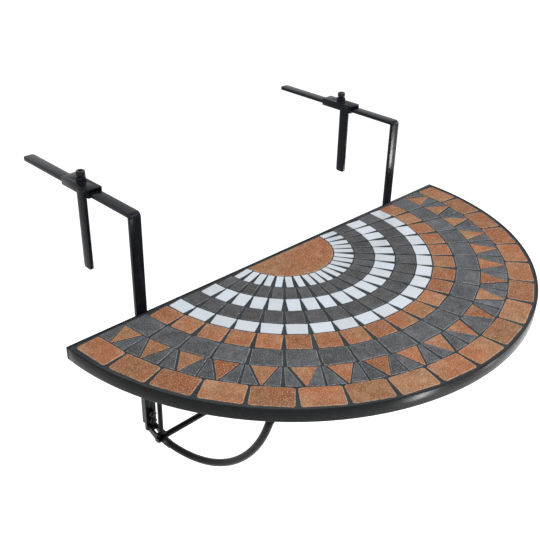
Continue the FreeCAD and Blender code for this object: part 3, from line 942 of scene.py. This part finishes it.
def pour_grout(node):
    low, high = corners(node)
    reach = (high.x - low.x) / 2
    circle_y = corners("back_bar")[1].y
    first = math.asin((circle_y - high.y) / reach)
    sweep = math.pi - 2 * first
    shape = bmesh.new()
    loops = []
    for height in (low.z, high.z):
        loop = []
        for step in range(ARC_STEPS + 1):
            angle = first + sweep * step / ARC_STEPS
            place = (reach * math.cos(angle), circle_y - reach * math.sin(angle), height)
            loop.append(shape.verts.new(place))
        loops.append(loop)
    close_loops(shape, loops)
    stand_in("poured_grout", node, finished_mesh("poured_grout", shape), grout)
    print("grout reaches", round((high.y - low.y) / MM, 1), "mm forward")


pour_grout("grout_joints")


# %% [markdown]
# ## Clamp screws with a thread
#
# The clamp screw is the one part a user turns by hand, so it earns a real
# helical thread, a knurled head and a hexagon socket. A screw modifier can
# sweep a profile, but leaves its ends open and hard to taper. We make the
# thread as a stack of loops instead, whose radius depends on how far a point
# is from the nearest crest.


# %% Threaded shank
THREAD_RADIUS = 4 * MM
THREAD_DEPTH = 0.6 * MM
THREAD_PITCH = 1.25 * MM
LOOPS_PER_TURN = 10


def thread_loops(low, high, around=40):
    """Loops of points from low to high, with a helical ridge."""
    loops = []
    count = int((high - low) / THREAD_PITCH * LOOPS_PER_TURN)
    for row in range(count + 1):
        height = low + (high - low) * row / count
        taper = min(1.0, (height - low) / THREAD_PITCH, (high - height) / THREAD_PITCH)
        loop = []
        for number in range(around):
            angle = 2 * math.pi * number / around
            phase = (height / THREAD_PITCH - number / around) % 1.0
            ridge = 1 - 2 * abs(phase - 0.5)
            reach = THREAD_RADIUS - THREAD_DEPTH * (1 - ridge * max(taper, 0))
            loop.append((reach * math.cos(angle), reach * math.sin(angle), height))
        loops.append(loop)
    return loops


def add_loops(shape, loops, centre):
    """Put loops of plain points into a shape and close them."""
    close_loops(shape, [[shape.verts.new(Vector(point) + centre) for point in loop]
                        for loop in loops])


print("thread pitch:", THREAD_PITCH / MM, "mm")


# %% [markdown]
# ## The screw's head
#
# The head is a stack of loops too. Its knurl is a row of shallow flutes round
# the side, which a bump would leave flat at the outline. Its socket is a
# hexagon: the last two loops take their radius from the distance to the
# nearest flat, and the lower of them is the socket's floor.


# %% Knurled socket head
FLUTES = 36
FLUTE_DEPTH = 0.35 * MM
HEAD_EDGE = 0.9 * MM
KEY_WIDTH = 6 * MM
KEY_DEPTH = 4 * MM


def head_loops(radius, low, high, around=144):
    angles = [2 * math.pi * number / around for number in range(around)]
    loops = []
    for height, inset, fluted in ((low, HEAD_EDGE, 0), (low + HEAD_EDGE, 0, 1),
                                  (high - HEAD_EDGE, 0, 1), (high, HEAD_EDGE, 0)):
        loop = []
        for angle in angles:
            flute = FLUTE_DEPTH * abs(math.sin(FLUTES * angle / 2)) * fluted
            reach = radius - inset - flute
            loop.append((reach * math.cos(angle), reach * math.sin(angle), height))
        loops.append(loop)
    for height in (high, high - KEY_DEPTH):
        loop = []
        for angle in angles:
            off_flat = (angle + math.pi / 6) % (math.pi / 3) - math.pi / 6
            reach = KEY_WIDTH / 2 / math.cos(off_flat)
            loop.append((reach * math.cos(angle), reach * math.sin(angle), height))
        loops.append(loop)
    return loops


print("flutes round the head:", FLUTES)


# %% [markdown]
# ## Both screws
#
# The head starts a little above the nut that is welded on the sleeve, and the
# shank reaches down to the end of the solid screw. Both are closed shapes in
# one mesh, the shank's top flush with the underside of the head.


# %% Cut the clamp screws
HEAD_GAP = 1.5 * MM


def cut_screw(side):
    node = f"{side}_clamp_screw"
    low, high = corners(node)
    centre = middle(node)
    centre.z = 0
    head_low = corners(f"{side}_weld_nut")[1].z + HEAD_GAP
    shape = bmesh.new()
    add_loops(shape, thread_loops(low.z, head_low), centre)
    add_loops(shape, head_loops((high.x - low.x) / 2, head_low, high.z), centre)
    mesh = finished_mesh(f"cut_{node}", shape)
    shade_smooth(mesh, crease=30)
    stand_in(f"cut_{node}", node, mesh, zinc)
    return len(mesh.vertices)


for side in SIDES:
    print(side, "clamp screw points:", cut_screw(side))


# %% [markdown]
# ## Weld beads
#
# The frame is welded by hand. A bead is a row of overlapping drops along the
# seam. Single drops would need many small meshes, so we sweep a circle along
# the seam and let its radius swell and shrink with each drop. Beads are small,
# but they tell the eye why the parts hold together.


# %% A bead along a seam
DROP_LENGTH = 2.1 * MM
BEAD_STEP = 0.5 * MM
BEAD_SIDES = 10


def bead_loops(start, end, radius, dice):
    start = Vector(start)
    end = Vector(end)
    length = (end - start).length
    along = (end - start).normalized()
    across = along.orthogonal().normalized()
    upward = along.cross(across)
    count = max(6, int(length / BEAD_STEP))
    loops = []
    for row in range(count + 1):
        share = row / count
        swell = 0.82 + 0.18 * abs(math.sin(math.pi * share * length / DROP_LENGTH))
        swell *= 1 - 0.12 * dice.random()
        close = min(1.0, 6 * share + 0.25, 6 * (1 - share) + 0.25)
        reach = radius * swell * close
        loop = []
        for number in range(BEAD_SIDES):
            angle = 2 * math.pi * number / BEAD_SIDES
            loop.append(start + along * length * share
                        + (across * math.cos(angle) + upward * math.sin(angle)) * reach)
        loops.append(loop)
    return loops


print("drops on 20 mm of seam:", round(20 * MM / DROP_LENGTH))


# %% [markdown]
# ## From seams to one piece
#
# All the beads of one body make one piece, since they share a finish and move
# together. A seam is just a start and an end. A weld round a rod or a nut is
# given as short straight seams that go round in a circle, so that one sweep
# serves for both.


# %% Lay beads
def lay_beads(name, seams, radius, body):
    """Beads on a body, all in the weld bead finish."""
    shape = bmesh.new()
    dice = random.Random(len(name))
    for start, end in seams:
        add_loops(shape, bead_loops(start, end, radius, dice), Vector())
    mesh = finished_mesh(name, shape)
    shade_smooth(mesh)
    add_piece(name, mesh, weld, body)
    print(name, "seams:", len(seams))


def ring_seam(centre, radius, parts=12):
    """Short straight seams that together go round an upright axis."""
    axis = Vector((0, 0, 1))
    arm = axis.orthogonal().normalized() * radius
    points = [centre + Matrix.Rotation(2 * math.pi * n / parts, 3, axis) @ arm
              for n in range(parts + 1)]
    return list(zip(points, points[1:]))


print("bead helpers ready")


# %% [markdown]
# ## Beads of the hanger frame
#
# On the real table the hinge lugs and foot lugs are welded to the front
# plates, and the stay rods are welded at both their ends. The foot lugs slant,
# so their box doesn't say where they touch the plate: there we look for the
# points of the lug that lie on the plate's front.


# %% Seams of the frame
def root_at(node, y):
    """Lowest and highest corner of a node where it meets an upright plane."""
    points = [vertex.co for vertex in frame["nodes"][node].data.vertices
              if abs(vertex.co.y - y) < 0.1 * MM]
    low = Vector(min(point[axis] for point in points) for axis in range(3))
    high = Vector(max(point[axis] for point in points) for axis in range(3))
    return low, high


frame_seams = []
for side in SIDES:
    front_y = corners(f"{side}_front_plate")[0].y
    lug_low, lug_high = corners(f"{side}_hinge_lug")
    root_low, root_high = root_at(f"{side}_foot_lug", front_y)
    for z in (lug_low.z + 2.5 * MM, lug_high.z - 2.5 * MM):
        frame_seams.append(((lug_low.x + MM, front_y, z), (lug_high.x - MM, front_y, z)))
    for x in (root_low.x, root_high.x):
        frame_seams.append(((x, front_y, root_low.z + MM), (x, front_y, root_high.z - MM)))
    rod = middle(f"{side}_stay_rod")
    rod.x = middle(f"{side}_front_plate").x
    for corner in reversed(corners(f"{side}_stay_rod")):
        rod.z = corner.z
        frame_seams.extend(ring_seam(rod, span(f"{side}_stay_rod").x / 2))
lay_beads("frame_beads", frame_seams, 1.0 * MM, "hanger_frame")


# %% [markdown]
# ## Beads of the clamps
#
# Each clamp's finger is welded to the side of its sleeve, along three edges,
# and the nut is welded round its foot. These beads ride on the sliding clamp.


# %% Seams of the clamps
for side in SIDES:
    sleeve = f"{side}_sleeve"
    sleeve_low, sleeve_high = corners(sleeve)
    finger_low, finger_high = corners(f"{side}_finger")
    seams = []
    for y in (finger_low.y, finger_high.y):
        seams.append(((sleeve_low.x, y, sleeve_low.z + MM),
                      (sleeve_low.x, y, finger_high.z - MM)))
    seams.append(((sleeve_low.x - MM, finger_low.y + MM, finger_high.z),
                  (sleeve_low.x - MM, finger_high.y - MM, finger_high.z)))
    nut = middle(f"{side}_weld_nut")
    nut.z = sleeve_high.z
    seams.extend(ring_seam(nut, span(f"{side}_weld_nut").y / 2 + 0.5 * MM))
    lay_beads(f"{side}_clamp_beads", seams, 1.0 * MM, body_of[sleeve])


# %% [markdown]
# ## Beads of the table top
#
# The rim is welded to the ends of the back bar, and the braces to the bar and,
# at their front ends, to the sheet. Those seams are seen only from below, and
# are a little thicker.


# %% Seams of the table top
hoop_low, hoop_high = corners("rim_hoop")
bar_low, bar_high = corners("back_bar")
top_seams = []
for x in (hoop_low.x + 1.6 * MM, hoop_high.x - 1.6 * MM):
    top_seams.append(((x, bar_low.y, hoop_low.z + MM), (x, bar_low.y, hoop_low.z + 9 * MM)))
for side in SIDES:
    brace_low, brace_high = corners(f"{side}_brace")
    top_seams.append(((brace_low.x, bar_low.y, brace_low.z),
                      (brace_high.x, bar_low.y, brace_low.z)))
    top_seams.append(((brace_low.x, brace_low.y + 2 * MM, brace_high.z),
                      (brace_low.x, brace_low.y + 40 * MM, brace_high.z)))
lay_beads("top_beads", top_seams, 1.2 * MM, "table_top")


# %% [markdown]
# ## A white room without more light
#
# The picture's ground is white. More light would make it so, but it would
# wash out the black steel too. So floor and world ask what kind of ray looks
# at them: they are white where the camera or a gloss looks, and only softly
# lit for everything else.


# %% What the camera and the gloss see
def seen_directly(nodes, links):
    """One for camera, glossy and transmission rays, zero for diffuse light."""
    path = nodes.new("ShaderNodeLightPath")
    total = path.outputs["Is Camera Ray"]
    for kind in ("Is Glossy Ray", "Is Transmission Ray"):
        either = nodes.new("ShaderNodeMath")
        either.use_clamp = True
        links.new(total, either.inputs[0])
        links.new(path.outputs[kind], either.inputs[1])
        total = either.outputs["Value"]
    return total


print("white for camera, glossy and transmission rays")


# %% [markdown]
# ## The floor
#
# A handrail is about a metre above its floor. A pale, slightly uneven floor so
# far below keeps the table's soft shadow out of the picture. Its glow is added
# to its own shading, only for the rays named above, so the floor still takes a
# shadow.


# %% Floor
def pale(name, glow):
    material = bpy.data.materials.new(name)
    material.use_nodes = True
    nodes = material.node_tree.nodes
    links = material.node_tree.links
    shader = nodes["Principled BSDF"]
    noise = nodes.new("ShaderNodeTexNoise")
    noise.inputs["Scale"].default_value = 3
    ramp = nodes.new("ShaderNodeValToRGB")
    ramp.color_ramp.elements[0].color = (0.93, 0.93, 0.93, 1)
    ramp.color_ramp.elements[1].color = (0.96, 0.96, 0.96, 1)
    links.new(noise.outputs["Fac"], ramp.inputs["Fac"])
    links.new(ramp.outputs["Color"], shader.inputs["Base Color"])
    shader.inputs["Roughness"].default_value = 0.9
    light = nodes.new("ShaderNodeEmission")
    level = nodes.new("ShaderNodeMath")
    level.operation = "MULTIPLY"
    links.new(seen_directly(nodes, links), level.inputs[0])
    level.inputs[1].default_value = glow
    links.new(level.outputs["Value"], light.inputs["Strength"])
    both = nodes.new("ShaderNodeAddShader")
    links.new(shader.outputs["BSDF"], both.inputs[0])
    links.new(light.outputs["Emission"], both.inputs[1])
    links.new(both.outputs["Shader"], nodes["Material Output"].inputs["Surface"])
    return material


FLOOR_Z = -0.95
FLOOR_SIZE = 24
FLOOR_GLOW = 0.6
bpy.ops.mesh.primitive_plane_add(size=FLOOR_SIZE, location=(0, 0, FLOOR_Z))
floor = bpy.context.object
floor.name = "balcony_floor"
floor.data.materials.append(pale("pale_floor", FLOOR_GLOW))
print("floor at", FLOOR_Z)


# %% [markdown]
# ## The world
#
# The world is two backgrounds: a soft one that lights the object and a white
# one that is seen. A single grey one would give the same light, but also a
# grey picture and grey reflections.


# %% World
SOFT_LEVEL = 0.42
world = bpy.data.worlds.new("studio")
bpy.context.scene.world = world
world.use_nodes = True
world_nodes = world.node_tree.nodes
world_links = world.node_tree.links
soft = world_nodes["Background"]
soft.inputs["Color"].default_value = (1, 1, 1, 1)
soft.inputs["Strength"].default_value = SOFT_LEVEL
white = world_nodes.new("ShaderNodeBackground")
white.inputs["Color"].default_value = (1, 1, 1, 1)
white.inputs["Strength"].default_value = 1
choose = world_nodes.new("ShaderNodeMixShader")
world_links.new(seen_directly(world_nodes, world_links), choose.inputs["Fac"])
world_links.new(soft.outputs["Background"], choose.inputs[1])
world_links.new(white.outputs["Background"], choose.inputs[2])
world_links.new(choose.outputs["Shader"], world_nodes["World Output"].inputs["Surface"])
print("world strength:", SOFT_LEVEL)


# %% [markdown]
# ## Lamps
#
# The light on the table is gentle: a large lamp above on the left, a long one
# on the right and a faint one from the front. Black steel shows only what it
# reflects, so three more lamps are there for their reflections alone: a strip
# that draws a glint along the upper edges, an upright strip for the sheen on
# the rim, and a low narrow one, slightly warm, for the sheen on the right leg.


# %% Lamps
def lamp(name, place, target, size, watts, long=None):
    data = bpy.data.lights.new(name, "AREA")
    data.shape = "RECTANGLE"
    data.size = size
    data.size_y = long or size
    data.energy = watts
    light = bpy.data.objects.new(name, data)
    light.location = place
    light.rotation_euler = (Vector(target) - Vector(place)).to_track_quat("-Z", "Y").to_euler()
    bpy.context.scene.collection.objects.link(light)
    return light


aim = (0, -0.15, surface_z)
lamp("overhead", (-0.5, -0.3, 1.7), aim, 1.8, 14)
lamp("right_side", (2.2, -1.0, 0.5), aim, 1.2, 12, 0.5)
lamp("front_left", (-1.6, -2.0, 0.7), aim, 1.4, 6)
lamp("edge_glint", (0.65, -1.27, 1.26), (0.05, -0.37, surface_z), 1.3, 15, 0.15)
lamp("rim_sheen", (0.2, -1.65, -0.72), (-0.1, -0.37, surface_z), 0.15, 10, 0.5)
low_right = lamp("low_right", (1.35, -1.1, -0.75), (0.27, 0, -0.02), 0.7, 0.9)
low_right.data.spread = math.radians(14)
low_right.data.color = (1.0, 0.95, 0.87)
print("lamps placed")


# %% [markdown]
# ## The camera
#
# The camera was found by fitting the table's straight edge, its half circle
# and its rings to the photograph, which gives a direction, a distance and a
# focal length in pixels. Blender wants the focal length in millimetres of a
# 36 mm sensor, so the pixel value is scaled by the picture's width.


# %% Where the camera stands
PICTURE_WIDTH = 540
SENSOR = 36
camera_azimuth = math.radians(-44.8)
camera_elevation = math.radians(29.7)
camera_roll = math.radians(1.3)
focal_pixels = 801.4
camera_distance = 1.1765
camera_target = Vector((-0.0566, bar_high.y - 0.0323, surface_z))
print("looks at", tuple(round(value, 3) for value in camera_target))


# %% [markdown]
# ## Aiming with a roll
#
# A tracking constraint would keep the camera level, but the picture is turned
# by a degree. So we work out the camera's three axes: away from the table, to
# the right and to the top of the picture, the last two turned by the roll.
# Together they are the columns of its matrix.


# %% Aim the camera
away = Vector((math.sin(camera_azimuth) * math.cos(camera_elevation),
               -math.cos(camera_azimuth) * math.cos(camera_elevation),
               math.sin(camera_elevation)))
level = Vector((math.cos(camera_azimuth), math.sin(camera_azimuth), 0))
upright = away.cross(level)
to_right = level * math.cos(camera_roll) + upright * math.sin(camera_roll)
to_top = away.cross(to_right)
camera_data = bpy.data.cameras.new("railing_camera")
camera_data.sensor_width = SENSOR
camera_data.lens = focal_pixels * SENSOR / PICTURE_WIDTH
camera = bpy.data.objects.new("railing_camera", camera_data)
camera.matrix_world = Matrix((
    (to_right.x, to_top.x, away.x, 0),
    (to_right.y, to_top.y, away.y, 0),
    (to_right.z, to_top.z, away.z, 0),
    (0, 0, 0, 1)))
camera.location = camera_target + away * camera_distance
bpy.context.scene.collection.objects.link(camera)
bpy.context.scene.camera = camera
bpy.context.scene.view_settings.view_transform = "Standard"
print("lens:", round(camera_data.lens, 1), "mm")
